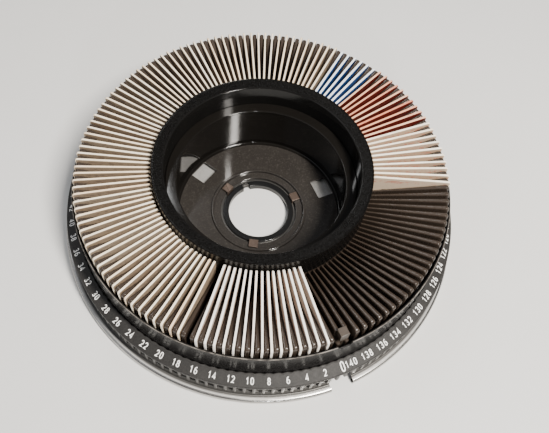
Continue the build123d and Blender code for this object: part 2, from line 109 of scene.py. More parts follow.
# ------------------------------------------------------------------ materials
class Tree:
    """The node tree of one material. Its methods add a node and give its output."""

    def __init__(self, name):
        self.mat = bpy.data.materials.new(name)
        self.mat.use_nodes = True
        self.tree = self.mat.node_tree
        self.bsdf = self.tree.nodes["Principled BSDF"]
        self.coord = self.node("ShaderNodeTexCoord").outputs["Object"]

    def node(self, kind, **props):
        n = self.tree.nodes.new(kind)
        for k, v in props.items():
            setattr(n, k, v)
        return n

    def link(self, a, b):
        self.tree.links.new(a, b)

    def put(self, socket, value):
        """Link another node's output, or set a plain value on the socket."""
        if hasattr(value, "links"):
            self.link(value, socket)
        else:
            socket.default_value = value

    def math(self, op, a, b=0.0, clamp=False):
        n = self.node("ShaderNodeMath", operation=op, use_clamp=clamp)
        self.put(n.inputs[0], a)
        self.put(n.inputs[1], b)
        return n.outputs[0]

    def times(self, a, b):
        return self.math("MULTIPLY", a, b)

    def noise(self, scale, detail=4.0, rough=0.6, vector=None, distortion=0.0):
        n = self.node("ShaderNodeTexNoise")
        n.inputs["Scale"].default_value = scale
        n.inputs["Detail"].default_value = detail
        n.inputs["Roughness"].default_value = rough
        n.inputs["Distortion"].default_value = distortion
        self.link(vector or self.coord, n.inputs["Vector"])
        return n.outputs["Fac"]

    def voronoi(self, scale, feature="F1"):
        n = self.node("ShaderNodeTexVoronoi", feature=feature)
        n.inputs["Scale"].default_value = scale
        self.link(self.coord, n.inputs["Vector"])
        return n.outputs["Distance"]

    def stretch(self, x, y, z):
        n = self.node("ShaderNodeMapping")
        n.inputs["Scale"].default_value = (x, y, z)
        self.link(self.coord, n.inputs["Vector"])
        return n.outputs["Vector"]

    def ramp(self, fac, *stops):
        n = self.node("ShaderNodeValToRGB")
        self.put(n.inputs["Fac"], fac)
        while len(n.color_ramp.elements) < len(stops):
            n.color_ramp.elements.new(0.5)
        for element, (position, colour) in zip(n.color_ramp.elements, stops):
            element.position = position
            element.color = (*colour, 1)
        return n.outputs["Color"]

    def span(self, fac, lo, hi, a, b):
        """a where fac is lo, b where it is hi, held beyond them."""
        n = self.node("ShaderNodeMapRange")
        self.put(n.inputs["Value"], fac)
        for key, v in (("From Min", lo), ("From Max", hi), ("To Min", a), ("To Max", b)):
            n.inputs[key].default_value = v
        return n.outputs["Result"]

    def mix(self, fac, a, b):
        n = self.node("ShaderNodeMix", data_type="RGBA")
        self.put(n.inputs[0], fac)
        self.put(n.inputs[6], a if hasattr(a, "links") else (*a, 1))
        self.put(n.inputs[7], b if hasattr(b, "links") else (*b, 1))
        return n.outputs[2]

    def bump(self, height, strength, depth, normal=None):
        """Bumps of a height map, depth in mm."""
        n = self.node("ShaderNodeBump")
        n.inputs["Strength"].default_value = strength
        n.inputs["Distance"].default_value = depth * MM
        self.link(height, n.inputs["Height"])
        if normal is not None:
            self.link(normal, n.inputs["Normal"])
        return n.outputs["Normal"]

    def xyz(self, vector):
        n = self.node("ShaderNodeSeparateXYZ")
        self.link(vector, n.inputs[0])
        return n.outputs

    def polar(self):
        """Radius, angle and height of a point about the tray's axis."""
        x, y, z = self.xyz(self.coord)
        r = self.math("SQRT", self.math("ADD", self.times(x, x), self.times(y, y)))
        return r, self.math("ARCTAN2", y, x), z

    def upward(self, lo, hi):
        """0 on walls and 1 on faces that look up."""
        normal = self.node("ShaderNodeNewGeometry").outputs["Normal"]
        return self.span(self.xyz(normal)[2], lo, hi, 0.0, 1.0)

    def vector(self, x, y, z):
        n = self.node("ShaderNodeCombineXYZ")
        for s, v in zip(n.inputs, (x, y, z)):
            self.put(s, v)
        return n.outputs[0]

    def set(self, **values):
        for k, v in values.items():
            self.put(self.bsdf.inputs[k.replace("_", " ")], v)
        return self.mat


DUST = (0.34, 0.31, 0.27)
# Colour of a painted highlight along an edge.
EDGE_HIGHLIGHT = (0.22, 0.20, 0.18)
# Colour of the painted shade on the plate.
PAINTED_SHADE = (0.03, 0.028, 0.026)
HAND_DIRT = (0.35, 0.29, 0.22)
# Painted shade lies round the bore and under the teeth, from the deck out to the rim.
BORE_SHADE = (32.5 * MM, 36.0 * MM)
DECK_SHADE = (123.5 * MM, 127.5 * MM)
SHADE_END = (132.2 * MM, 133.4 * MM)
# A line of print runs along each mount just under its top edge.
PRINT_LOW = (53.0 * MM, 53.4 * MM)
PRINT_HIGH = (56.0 * MM, 56.4 * MM)


def dimmed(colour, k):
    """The same colour, k times as bright."""
    return tuple(k * c for c in colour)


def rubbed_edge(t, edge_r, edge_z):
    """Painted highlight: 1 in uneven patches along an outer top edge, 0 elsewhere."""
    r, _, z = t.polar()
    near_r = t.span(r, edge_r - 0.6 * MM, edge_r - 0.2 * MM, 0.0, 1.0)
    near_z = t.span(z, edge_z - 0.6 * MM, edge_z - 0.2 * MM, 0.0, 1.0)
    patches = t.span(t.noise(160.0, 4.0, 0.6), 0.35, 0.6, 0.15, 1.0)
    return t.times(t.times(near_r, near_z), patches)


def plastic(
    name,
    dark,
    light,
    rough,
    grain=0.0,
    grain_scale=2500.0,
    dust=0.0,
    scuff=0.25,
    coat=0.0,
    blotch=40.0,
    specks=0.25,
    sheen=0.5,
    highlight_edge=None,
):
    """Moulded plastic: uneven tone, smudged gloss, grain, hairline scuffs and a little dust on top.

    rough is the roughness where the surface is cleanest and where it is most smudged, and sheen is
    how strongly it reflects. highlight_edge is the radius and height, in metres, of an edge with a
    painted highlight: a paler colour in uneven patches.
    """
    t = Tree(name)
    colour = t.mix(t.noise(blotch, 5.0, 0.65), dark, light)
    colour = t.mix(t.span(t.voronoi(900.0), 0.0, 0.16, specks, 0.0), colour, light)
    if dust:
        patches = t.span(t.noise(900.0, 3.0, 0.7), 0.52, 0.75, 0.0, dust)
        colour = t.mix(t.times(t.upward(0.55, 1.0), patches), colour, DUST)
    # Painted highlight: a paler colour in patches along the given edge.
    if highlight_edge:
        colour = t.mix(rubbed_edge(t, *highlight_edge), colour, EDGE_HIGHLIGHT)
    smudge = t.span(t.noise(25.0, 6.0, 0.6, distortion=0.6), 0.3, 0.7, *rough)
    hairs = t.noise(60.0, 2.0, 0.5, vector=t.stretch(1.0, 14.0, 5.0), distortion=1.5)
    hairs = t.span(hairs, 0.485, 0.515, 0.0, 1.0)
    scratch = t.times(hairs, t.math("SUBTRACT", 1.0, hairs))
    fine = t.bump(t.noise(grain_scale, 3.0, 0.6), min(1.0, 0.12 + grain), 0.04 + 0.2 * grain)
    return t.set(
        Base_Color=colour,
        Roughness=t.math("ADD", smudge, t.times(scratch, scuff), clamp=True),
        Normal=t.bump(t.noise(30.0, 2.0, 0.4), 0.06, 0.6, normal=fine),
        Coat_Weight=coat,
        Coat_Roughness=0.06,
        Specular_IOR_Level=sheen,
    )


def grained(name, dark, light, rough, cell, sheen):
    """Plastic with a coarse moulded grain that sparkles. cell is the number of grains in a metre."""
    t = Tree(name)
    bumps = t.noise(cell, 2.0, 0.55, distortion=0.3)
    pits = t.voronoi(cell * 1.3, feature="SMOOTH_F1")
    height = t.math("ADD", bumps, t.times(pits, 0.7))
    colour = t.mix(t.span(height, 0.55, 1.15, 0.0, 1.0), dark, light)
    handled = t.span(t.noise(55.0, 5.0, 0.7), 0.5, 0.8, 0.0, 0.25)
    return t.set(
        Base_Color=t.mix(handled, colour, dimmed(light, 1.7)),
        Roughness=t.span(t.noise(cell * 0.5, 2.0, 0.5), 0.3, 0.7, *rough),
        Specular_IOR_Level=sheen,
        Normal=t.bump(height, 0.5, 0.2),
    )


def steel(name, tint, rough, turned=True, shine=1.0, shade_depth=0.0):
    """Plated sheet steel with turning lines, tarnish and small scratches, and optional painted shade
    round the bore and under the teeth.
    """
    t = Tree(name)
    r, angle, _ = t.polar()
    if turned:
        turns = t.vector(t.times(r, 4200.0), t.times(angle, 6.0), 0.0)
        lines = t.noise(1.0, 3.0, 0.7, vector=turns)
    else:
        lines = t.noise(500.0, 3.0, 0.6, vector=t.stretch(1.0, 0.08, 1.0))
    stain = t.noise(45.0, 6.0, 0.7, distortion=0.8)
    glint = tuple(min(0.9, c) for c in dimmed(tint, 1.35))
    colour = t.mix(t.span(stain, 0.42, 0.72, 0.0, 1.0), tint, dimmed(tint, 0.55))
    colour = t.mix(t.span(lines, 0.3, 0.7, 0.0, 0.4), colour, glint)
    # Painted shade: the plate darkened round the bore and from under the teeth out to the rim.
    if shade_depth:
        dirt = t.times(t.span(r, *DECK_SHADE, 0.0, shade_depth), t.span(r, *SHADE_END, 1.0, 0.0))
        dirt = t.math("MAXIMUM", dirt, t.span(r, *BORE_SHADE, shade_depth, 0.0))
        colour = t.mix(dirt, colour, PAINTED_SHADE)
    dull = t.span(stain, 0.3, 0.7, *rough)
    streaks = t.span(lines, 0.3, 0.7, -0.05, 0.08)
    return t.set(
        Base_Color=colour,
        Metallic=shine,
        Roughness=t.math("ADD", dull, streaks, clamp=True),
        Normal=t.bump(lines, 0.12, 0.05),
    )


def slide_tone(t, tones):
    """One tone for each slide, and the random number it is picked by, from the slide's slot."""
    _, angle, _ = t.polar()
    index = t.math("ROUND", t.math("DIVIDE", t.math("SUBTRACT", ZERO_AZIMUTH, angle), PITCH))
    pick = t.node("ShaderNodeTexWhiteNoise", noise_dimensions="1D")
    t.link(index, pick.inputs["W"])
    stops = [(i / (len(tones) - 1), c) for i, c in enumerate(tones)]
    return t.ramp(pick.outputs["Value"], *stops), pick.outputs["Value"]


def card_edge(name, tones, ply=(0.62, 0.52, 0.38), rough=0.62):
    """Cut edge of a mount: two plies, soft fibres and handling dirt."""
    t = Tree(name)
    tone, _ = slide_tone(t, tones)
    fibre = t.noise(1400.0, 4.0, 0.7)
    dirt = t.span(t.noise(120.0, 6.0, 0.75), 0.5, 0.78, 0.0, 0.55)
    colour = t.mix(t.times(fibre, 0.3), tone, ply)
    colour = t.mix(dirt, colour, dimmed(ply, 0.55))
    return t.set(Base_Color=colour, Roughness=rough, Normal=t.bump(fibre, 0.25, 0.08))


def card_face(name, tones, ink, ink_amount, rough=0.55, dirty=0.4, sheen=0.5):
    """Face of a mount: paper grain, blocks of print under the top edge and handling dirt."""
    t = Tree(name)
    tone, pick = slide_tone(t, tones)
    r, _, z = t.polar()
    grain = t.noise(700.0, 5.0, 0.65)
    colour = t.mix(t.times(grain, 0.18), tone, dimmed(tones[0], 0.5))
    place = t.vector(t.times(r, 330.0), t.times(pick, 70.0), t.times(z, 900.0))
    blocks = t.span(t.noise(1.0, 3.0, 0.6, vector=place), 0.54, 0.57, 0.0, ink_amount)
    line = t.times(t.span(z, *PRINT_LOW, 0.0, 1.0), t.span(z, *PRINT_HIGH, 1.0, 0.0))
    colour = t.mix(t.times(blocks, line), colour, ink)
    dirt = t.span(t.noise(90.0, 6.0, 0.7), 0.52, 0.8, 0.0, dirty)
    return t.set(
        Base_Color=t.mix(dirt, colour, HAND_DIRT),
        Roughness=rough,
        Specular_IOR_Level=sheen,
        Normal=t.bump(grain, 0.18, 0.06),
    )


def film_material():
    """A dark transparency with soft patches of colour."""
    t = Tree("film_transparency")
    picture = t.ramp(
        t.noise(95.0, 3.0, 0.5, distortion=0.8),
        (0.3, (0.012, 0.014, 0.02)),
        (0.45, (0.05, 0.035, 0.022)),
        (0.58, (0.10, 0.11, 0.06)),
        (0.72, (0.12, 0.17, 0.26)),
    )
    fine = t.noise(1100.0, 3.0, 0.6)
    return t.set(
        Base_Color=t.mix(t.times(fine, 0.35), picture, (0.02, 0.015, 0.01)),
        Roughness=t.span(fine, 0.3, 0.7, 0.12, 0.24),
        Transmission_Weight=0.15,
    )


def ink_material():
    """White print, slightly worn."""
    t = Tree("number_ink")
    wear = t.span(t.noise(1500.0, 4.0, 0.7), 0.58, 0.75, 0.0, 0.35)
    tone = t.mix(t.noise(220.0, 3.0, 0.5), (0.95, 0.95, 0.93), (0.84, 0.83, 0.80))
    return t.set(Base_Color=t.mix(wear, tone, (0.4, 0.4, 0.39)), Roughness=0.45)


def paper_material():
    """Pale studio paper."""
    t = Tree("studio_paper")
    tone = t.mix(t.noise(6.0, 4.0, 0.6), (0.60, 0.60, 0.59), (0.66, 0.66, 0.65))
    return t.set(Base_Color=tone, Roughness=0.75, Normal=t.bump(t.noise(800.0), 0.05, 0.1))


_, edge_r, _, edge_z = ring_size("outer_wall")
SKIRT = plastic(
    "skirt_plastic",
    dark=(0.003, 0.003, 0.003),
    light=(0.008, 0.0075, 0.007),
    rough=(0.06, 0.14),
    scuff=0.2,
    specks=0.0,
    sheen=0.2,
)
RIB = plastic(
    "rib_plastic",
    dark=(0.018, 0.013, 0.010),
    light=(0.046, 0.034, 0.026),
    rough=(0.2, 0.32),
    grain=0.05,
    dust=0.04,
    specks=0.1,
    sheen=0.38,
)
# The wall's top outer edge carries a painted highlight.
WALL = plastic(
    "wall_plastic",
    dark=(0.004, 0.004, 0.004),
    light=(0.010, 0.009, 0.009),
    rough=(0.2, 0.34),
    dust=0.05,
    specks=0.1,
    sheen=0.08,
    highlight_edge=(edge_r * MM, edge_z * MM),
)
SMOKY = plastic(
    "smoky_plastic",
    dark=(0.004, 0.0035, 0.003),
    light=(0.009, 0.008, 0.007),
    rough=(0.04, 0.1),
    scuff=0.15,
    coat=0.05,
    specks=0.0,
    sheen=0.28,
)
# The well's smoky plastic made lighter for the floor and collar, as painted light from above; its dust
# is real.
LIT_SMOKY = plastic(
    "lit_smoky_plastic",
    dark=(0.017, 0.015, 0.0135),
    light=(0.029, 0.026, 0.0235),
    rough=(0.05, 0.12),
    scuff=0.2,
    coat=0.08,
    dust=0.09,
    specks=0.12,
)
BUSH = plastic(
    "bush_plastic",
    dark=(0.004, 0.004, 0.004),
    light=(0.009, 0.009, 0.009),
    rough=(0.10, 0.2),
    scuff=0.2,
    specks=0.0,
)
GEAR = plastic(
    "gear_plastic",
    dark=(0.008, 0.007, 0.007),
    light=(0.020, 0.017, 0.015),
    rough=(0.25, 0.4),
    dust=0.08,
)
BLOCK = plastic(
    "block_plastic",
    dark=(0.018, 0.013, 0.010),
    light=(0.066, 0.050, 0.038),
    rough=(0.3, 0.5),
    grain=0.3,
    grain_scale=1400.0,
    blotch=260.0,
)
GRAIN = grained(
    "rim_grain",
    dark=(0.002, 0.0019, 0.0018),
    light=(0.006, 0.0056, 0.0053),
    rough=(0.19, 0.36),
    cell=1250.0,
    sheen=0.1,
)
BAND = grained(
    "band_grain",
    dark=(0.008, 0.0078, 0.0075),
    light=(0.031, 0.029, 0.0275),
    rough=(0.42, 0.62),
    cell=2300.0,
    sheen=0.3,
)
# The plate's steel carries painted shade round the bore and under the band.
PLATE = steel("plate_steel", (0.62, 0.61, 0.59), rough=(0.32, 0.5), shine=0.75, shade_depth=0.9)
# The bead is the plate's steel tinted darker, as painted shade.
SHADED_BEAD_STEEL = steel("shaded_bead_steel", (0.40, 0.39, 0.375), rough=(0.18, 0.3))
CLIP = steel("clip_bronze", (0.092, 0.066, 0.052), rough=(0.22, 0.36), turned=False, shine=0.5)
ZINC = steel("zinc_steel", (0.50, 0.51, 0.52), rough=(0.3, 0.45), turned=False)
WIRE = steel("spring_wire", (0.38, 0.38, 0.40), rough=(0.25, 0.4), turned=False)
FILM = film_material()
INK = ink_material()

WHITE_TONES = ((0.97, 0.94, 0.89), (0.98, 0.96, 0.93), (0.95, 0.89, 0.81), (0.98, 0.95, 0.91))
# White mount faces are darker than their edges as painted shade in the gaps between slides.
WHITE_SHADED_FACES = ((0.60, 0.52, 0.45), (0.52, 0.42, 0.34), (0.64, 0.57, 0.50))
CREAM_TONES = (
    (0.96, 0.85, 0.68),
    (0.89, 0.70, 0.50),
    (0.98, 0.91, 0.78),
    (0.93, 0.79, 0.59),
    (0.98, 0.89, 0.73),
    (0.83, 0.62, 0.42),
    (0.96, 0.87, 0.72),
)
# Cream and pale mount faces are a tan darkened below their edges, as painted shade in the gaps between
# slides.
SHADED_CARD_TONES = ((0.85, 0.64, 0.44), (0.74, 0.53, 0.35), (0.90, 0.71, 0.52), (0.66, 0.45, 0.29))
CREAM_SHADED_FACES = [dimmed(tone, 0.30) for tone in SHADED_CARD_TONES]
BLUE_TONES = ((0.92, 0.93, 0.93), (0.86, 0.90, 0.94))
BLUE_FACES = ((0.002, 0.020, 0.10), (0.006, 0.045, 0.17))
RED_TONES = ((0.80, 0.36, 0.20), (0.90, 0.60, 0.40), (0.62, 0.17, 0.08))
RED_FACES = ((0.048, 0.003, 0.002), (0.085, 0.006, 0.003))
PALE_TONES = ((0.97, 0.90, 0.76), (0.91, 0.80, 0.65), (0.98, 0.93, 0.81))
PALE_SHADED_FACES = [dimmed(tone, 0.62) for tone in SHADED_CARD_TONES]

# Edge and face material of each kind of mount. The white, cream and pale faces are darker as painted
# shade.
MOUNT_LOOKS = {
    "white": [
        card_edge("white_edge", WHITE_TONES, ply=(0.7, 0.6, 0.48), rough=0.42),
        card_face("white_face", WHITE_SHADED_FACES, ink=(0.35, 0.07, 0.04), ink_amount=0.5, rough=0.42),
    ],
    "cream": [
        card_edge("cream_edge", CREAM_TONES),
        card_face("cream_face", CREAM_SHADED_FACES, ink=(0.10, 0.07, 0.055), ink_amount=0.7),
    ],
    "blue": [
        card_edge("blue_edge", BLUE_TONES, ply=(0.5, 0.66, 0.85)),
        card_face(
            "blue_face", BLUE_FACES, ink=(0.15, 0.25, 0.42), ink_amount=0.12, dirty=0.1, sheen=0.25
        ),
    ],
    "red": [
        card_edge("red_edge", RED_TONES, ply=(0.45, 0.08, 0.04)),
        card_face(
            "red_face", RED_FACES, ink=(0.24, 0.07, 0.04), ink_amount=0.12, dirty=0.08, sheen=0.25
        ),
    ],
    "pale": [
        card_edge("pale_edge", PALE_TONES),
        card_face("pale_face", PALE_SHADED_FACES, ink=(0.45, 0.08, 0.05), ink_amount=0.6),
    ],
}


# ------------------------------------------------------------------ mesh helpers
def new_mesh(name, points, faces):
    """A mesh from points in mm."""
    me = bpy.data.meshes.new(name)
    me.from_pydata([(x * MM, y * MM, z * MM) for x, y, z in points], [], faces)
    return me


def new_object(name, data):
    ob = bpy.data.objects.new(name, data)
    bpy.context.scene.collection.objects.link(ob)
    return ob


def even_normals(ob):
    mod = ob.modifiers.new("normals", "WEIGHTED_NORMAL")
    mod.keep_sharp = True


def bevel_edges(ob, width, segments):
    mod = ob.modifiers.new("edge", "BEVEL")
    mod.width = width * MM
    mod.segments = segments
    mod.limit_method = "ANGLE"
    mod.angle_limit = math.radians(40)


def build(name, points, faces, mats, body, slot, indices=None, angle=35.0, weighted=True):
    """A smooth shaded piece on its body. indices gives each face's material."""
    me = new_mesh(name, points, faces)
    for mat in mats:
        me.materials.append(mat)
    if indices is not None:
        me.polygons.foreach_set("material_index", indices)
    me.validate()
    me.shade_smooth()
    me.set_sharp_from_angle(angle=math.radians(angle))
    ob = new_object(name, me)
    if weighted:
        even_normals(ob)
    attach(ob, body)
    return ob


def soften(corners, radius, steps=4):
    """Round the corners of a closed (r, z) outline. radius is one number or one for each corner."""
    out = []
    n = len(corners)
    radii = radius if isinstance(radius, list) else [radius] * n
    for i, corner in enumerate(corners):
        p = Vector(corner)
        a = Vector(corners[i - 1]) - p
        b = Vector(corners[(i + 1) % n]) - p
        turn = a.angle(b)
        cut_back = min(radii[i] / math.tan(turn / 2), 0.45 * a.length, 0.45 * b.length)
        if radii[i] <= 0 or cut_back < 1e-4:
            out.append(tuple(p))
            continue
        a.normalize()
        b.normalize()
        fitted = cut_back * math.tan(turn / 2)
        centre = p + (a + b).normalized() * (fitted / math.sin(turn / 2))
        start = p + a * cut_back - centre
        end = p + b * cut_back - centre
        sweep = start.angle_signed(end)
        for k in range(steps + 1):
            v = start.copy()
            v.rotate(Matrix.Rotation(-sweep * k / steps, 2))
            out.append(tuple(centre + v))
    return out


def rectangle(left, right, near, far):
    return [(left, near), (right, near), (right, far), (left, far)]


def arc(cx, cy, rx, ry, start, end, steps=10):
    """Points of an elliptical arc, its angles in degrees."""
    angles = [math.radians(start + (end - start) * k / steps) for k in range(steps + 1)]
    return [(cx + rx * math.cos(t), cy + ry * math.sin(t)) for t in angles]


def lathe(name, outline, mat, body, slot, segments=4 * SLOT_COUNT, shape=None, **kw):
    """Turn a closed (r, z) outline about the axis. shape(angle, r, z) may move each point."""
    points, faces = [], []
    n = len(outline)
    for s in range(segments):
        a = 2 * math.pi * s / segments
        for r, z in outline:
            if shape:
                r, z = shape(a, r, z)
            points.append((r * math.cos(a), r * math.sin(a), z))
    for s in range(segments):
        t = (s + 1) % segments
        for i in range(n):
            j = (i + 1) % n
            faces.append((s * n + i, t * n + i, t * n + j, s * n + j))
    mats = mat if isinstance(mat, list) else [mat]
    return build(name, points, faces, mats, body, slot, **kw)


def turned_look(node, outline, mat, body, slot, **kw):
    """A turned piece that stands for a CAD node."""
    ob = lathe(node + "_look", outline, mat, body, slot, **kw)
    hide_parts(node)
    return ob


def cutter(outline, low, high):
    """A prism over an (x, y) outline, used to cut a hole and then removed."""
    n = len(outline)
    points = [(x, y, z) for z in (low, high) for x, y in outline]
    faces = [tuple(range(n))[::-1], tuple(range(n, 2 * n))]
    faces += [(i, (i + 1) % n, n + (i + 1) % n, n + i) for i in range(n)]
    return new_object("cutter", new_mesh("cutter", points, faces))


def cut(ob, tools, bevel=0.0):
    """Cut the tools out of a mesh for good, then put a small bevel on what is sharp."""
    ob.modifiers.clear()
    for tool in tools:
        mod = ob.modifiers.new("cut", "BOOLEAN")
        mod.operation = "DIFFERENCE"
        mod.solver = "EXACT"
        mod.object = tool
    bpy.context.view_layer.update()
    depsgraph = bpy.context.evaluated_depsgraph_get()
    made = bpy.data.meshes.new_from_object(ob.evaluated_get(depsgraph))
    ob.modifiers.clear()
    ob.data = made
    for tool in tools:
        bpy.data.objects.remove(tool)
    if bevel:
        bevel_edges(ob, bevel, 2)
    even_normals(ob)


def refined(node, mat, bevel):
    """A welded, bevelled stand-in for a small CAD piece."""
    bm = bmesh.new()
    bm.from_mesh(NODES[node].data)
    bmesh.ops.remove_doubles(bm, verts=bm.verts, dist=1e-6)
    bmesh.ops.dissolve_limit(bm, angle_limit=math.radians(1.0), verts=bm.verts, edges=bm.edges)
    me = bpy.data.meshes.new(node + "_look")
    bm.to_mesh(me)
    bm.free()
    me.materials.clear()
    me.materials.append(mat)
    me.polygons.foreach_set("material_index", [0] * len(me.polygons))
    me.shade_smooth()
    me.set_sharp_from_angle(angle=math.radians(35))
    ob = new_object(node + "_look", me)
    if bevel:
        bevel_edges(ob, bevel, 3)
        even_normals(ob)
    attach(ob, body_of(NODES[node])[0])
    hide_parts(node)
    return ob


# ------------------------------------------------------------------ hub
skirt_r, rim_r, rim_low, rim_top = ring_size("hub_rim")
well_r, well_out, hub_low, well_top = ring_size("hub_well")
_, foot_r, _, floor_top = ring_size("hub_floor")
# Wall thicknesses, and the thickness of the rim's top.
HUB_WALL = 1.6
SKIRT_WALL = 1.8
RIM_WALL = 2.1
RIM_DEPTH = 3.9
RIM_SEGMENTS = 10 * SLOT_COUNT
skirt_out = skirt_r + SKIRT_WALL
ledge_low = well_top - HUB_WALL

# Finger ridges on a short arc of the rim's top: angles in degrees, the rest in mm.
RIDGE_COUNT = 8
RIDGE_START = 141.0
RIDGE_STEP = 1.35
RIDGE_HALF = 0.42
RIDGE_HEIGHT = 0.2
RIDGE_SUNK = 0.22


def rim_shape(a, r, z):
    """Fine finger ridges over a short arc of the rim's top."""
    if z > rim_top - 1.7 and skirt_r + 1.0 < r < rim_r - 0.4:
        z -= RIDGE_SUNK
        for k in range(RIDGE_COUNT):
            off = abs(a - math.radians(RIDGE_START + RIDGE_STEP * k)) * r
            z += RIDGE_HEIGHT * max(0.0, 1 - (off / RIDGE_HALF) ** 2)
    return r, z


rim_outline = soften(
    [
        (skirt_r, ledge_low),
        (skirt_out, ledge_low),
        (skirt_out, rim_top - RIM_DEPTH),
        (rim_r - RIM_WALL, rim_top - RIM_DEPTH),
        (rim_r - RIM_WALL, rim_low),
        (rim_r, rim_low),
        (rim_r, rim_top),
        (rim_r - 1.4, rim_top),
        (skirt_r + 0.9, rim_top - 1.1),
        (skirt_r, rim_top - 1.5),
    ],
    [0.2, 0.2, 0.3, 0.3, 0.2, 0.2, 0.55, 0.8, 0.7, 0.5],
)
# The grain covers the top and the outside, and the skirt inside the hub is smooth.
skirt_side = [1 if r < skirt_out + 0.1 and z < rim_top - 1.0 else 0 for r, z in rim_outline]
turned_look(
    "hub_rim",
    rim_outline,
    [GRAIN, SKIRT],
    "tray",
    "textured_black",
    segments=RIM_SEGMENTS,
    shape=rim_shape,
    indices=skirt_side * RIM_SEGMENTS,
)

well_outline = soften(
    [
        (foot_r + 0.02, hub_low),
        (foot_r + HUB_WALL, hub_low),
        (foot_r + HUB_WALL, floor_top),
        (well_r + HUB_WALL, ledge_low),
        (well_out - 0.05, ledge_low),
        (well_out - 0.05, well_top - 0.4),
        (well_out - 0.4, well_top),
        (well_r, well_top),
        (foot_r - 0.1, floor_top + 0.02),
        (foot_r - 2.6, floor_top + 0.02),
        (foot_r - 2.6, floor_top - 0.2),
        (foot_r, floor_top - 0.2),
    ],
    [0.0, 0.2, 0.5, 0.8, 0.2, 0.1, 0.1, 0.7, 1.5, 0.0, 0.0, 0.0],
    steps=6,
)
turned_look("hub_well", well_outline, SMOKY, "tray", "smoky_gloss")

WINDOW_COUNT = 3
WINDOW_IN = 44.3
WINDOW_OUT = 55.7
WINDOW_HALF = 7.2
collar_r, collar_out, collar_low, collar_top = ring_size("centre_collar")
seam_r = collar_out - 0.02
floor_outline = soften(
    [(seam_r, hub_low), (foot_r, hub_low), (foot_r, floor_top), (seam_r, floor_top)],
    [0.0, 0.1, 0.0, 0.0],
)
hub_floor = turned_look("hub_floor", floor_outline, LIT_SMOKY, "tray", "smoky_gloss", segments=360)
window = rectangle(WINDOW_IN, WINDOW_OUT, -WINDOW_HALF, WINDOW_HALF)
tools = []
for i in range(WINDOW_COUNT):
    a = 2 * math.pi * i / WINDOW_COUNT
    c, s = math.cos(a), math.sin(a)
    tools.append(cutter([(x * c - y * s, x * s + y * c) for x, y in window], 0, 12))
cut(hub_floor, tools, bevel=0.25)

LIP = 1.9
LIP_DEPTH = 2.0
collar_outline = soften(
    [
        (collar_r, collar_low),
        (collar_out, collar_low),
        (collar_out, collar_top),
        (collar_out - LIP, collar_top),
        (collar_out - LIP, collar_top - LIP_DEPTH),
        (collar_r, collar_top - LIP_DEPTH),
    ],
    [0.2, 0.2, 0.5, 0.45, 0.3, 0.35],
)
turned_look("centre_collar", collar_outline, LIT_SMOKY, "tray", "smoky_gloss", segments=360)

# ------------------------------------------------------------------ slot comb
drum_r, _, comb_low, _ = ring_size("slot_comb")
SLOT_W = 2.3
DRUM_WALL = 2.1
root_r = drum_r + DRUM_WALL
END_R = 120.7
# Each rib's top climbs in a straight line and its outer end is rounded from ROUND_FROM.
RIB_IN_Z = 43.2
RIB_OUT_Z = 57.4
RIB_OUT_R = 119.4
ROUND_FROM = 118.6
ROUND = END_R - ROUND_FROM
END_STATIONS = 6
END_FALL = 1.9
END_NARROWING = 0.42
# The two ribs beside the zero slot step down to carry the zero block.
STEP_R = (115.1, 115.3)
STEP_Z = 47.0
STEPPED_RIBS = (140, 0)
CROWN_SIDES = 10
SECTION = CROWN_SIDES + 3


def rib_top(r):
    return RIB_IN_Z + (r - root_r) * (RIB_OUT_Z - RIB_IN_Z) / (RIB_OUT_R - root_r)


def rib_width(r):
    return r * PITCH - SLOT_W


def rib_section(half, top):
    """Cross section of a rib as (y, z) points, from one foot over its rounded crown to the other."""
    crown = min(half, 0.62 + 0.28 * half)
    row = [(half, comb_low)]
    for i in range(CROWN_SIDES + 1):
        th = math.pi * i / CROWN_SIDES
        side = (half - crown) * np.sign(CROWN_SIDES / 2 - i)
        row.append((crown * math.cos(th) + side, top - crown + crown * math.sin(th)))
    row.append((-half, comb_low))
    return row


stations = [*np.linspace(root_r - 0.1, STEP_R[0], 9), STEP_R[1], ROUND_FROM]
for k in range(1, END_STATIONS + 1):
    stations.append(ROUND_FROM + ROUND * math.sin(k / END_STATIONS * math.pi / 2))
points, faces = [], []
for slot in range(SLOT_COUNT):
    a = azimuth(slot + 0.5)
    ca, sa = math.cos(a), math.sin(a)
    lump = RNG.uniform(-0.08, 0.08)
    base = len(points)
    for r in stations:
        past = max(0.0, (r - ROUND_FROM) / ROUND)
        fall = 1 - math.sqrt(max(0.0, 1 - past * past))
        half = rib_width(min(r, ROUND_FROM)) / 2 * (1 - END_NARROWING * fall)
        top = rib_top(min(r, ROUND_FROM)) + lump - END_FALL * fall
        if slot in STEPPED_RIBS and r >= STEP_R[1]:
            top = min(top, STEP_Z)
        points += [(r * ca - y * sa, r * sa + y * ca, z) for y, z in rib_section(half, top)]
    for s in range(len(stations) - 1):
        for i in range(SECTION - 1):
            p = base + s * SECTION + i
            faces.append((p, p + 1, p + SECTION + 1, p + SECTION))
    faces.append(tuple(range(len(points) - SECTION, len(points))))
ribs = build("slot_ribs_look", points, faces, [RIB], "tray", "rib_black", angle=60.0)
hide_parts("slot_comb")
drum_outline = [(drum_r, comb_low), (root_r, comb_low), (root_r, rim_low), (drum_r, rim_low)]
lathe("hub_drum_look", soften(drum_outline, 0.1), RIB, "tray", "rib_black")

# ------------------------------------------------------------------ outer wall
wall_r, wall_out, wall_low, wall_top = ring_size("outer_wall")
DIP_DEPTH = 3.2
DIP_HALF = 4.3
DIP_FLANK = 0.8


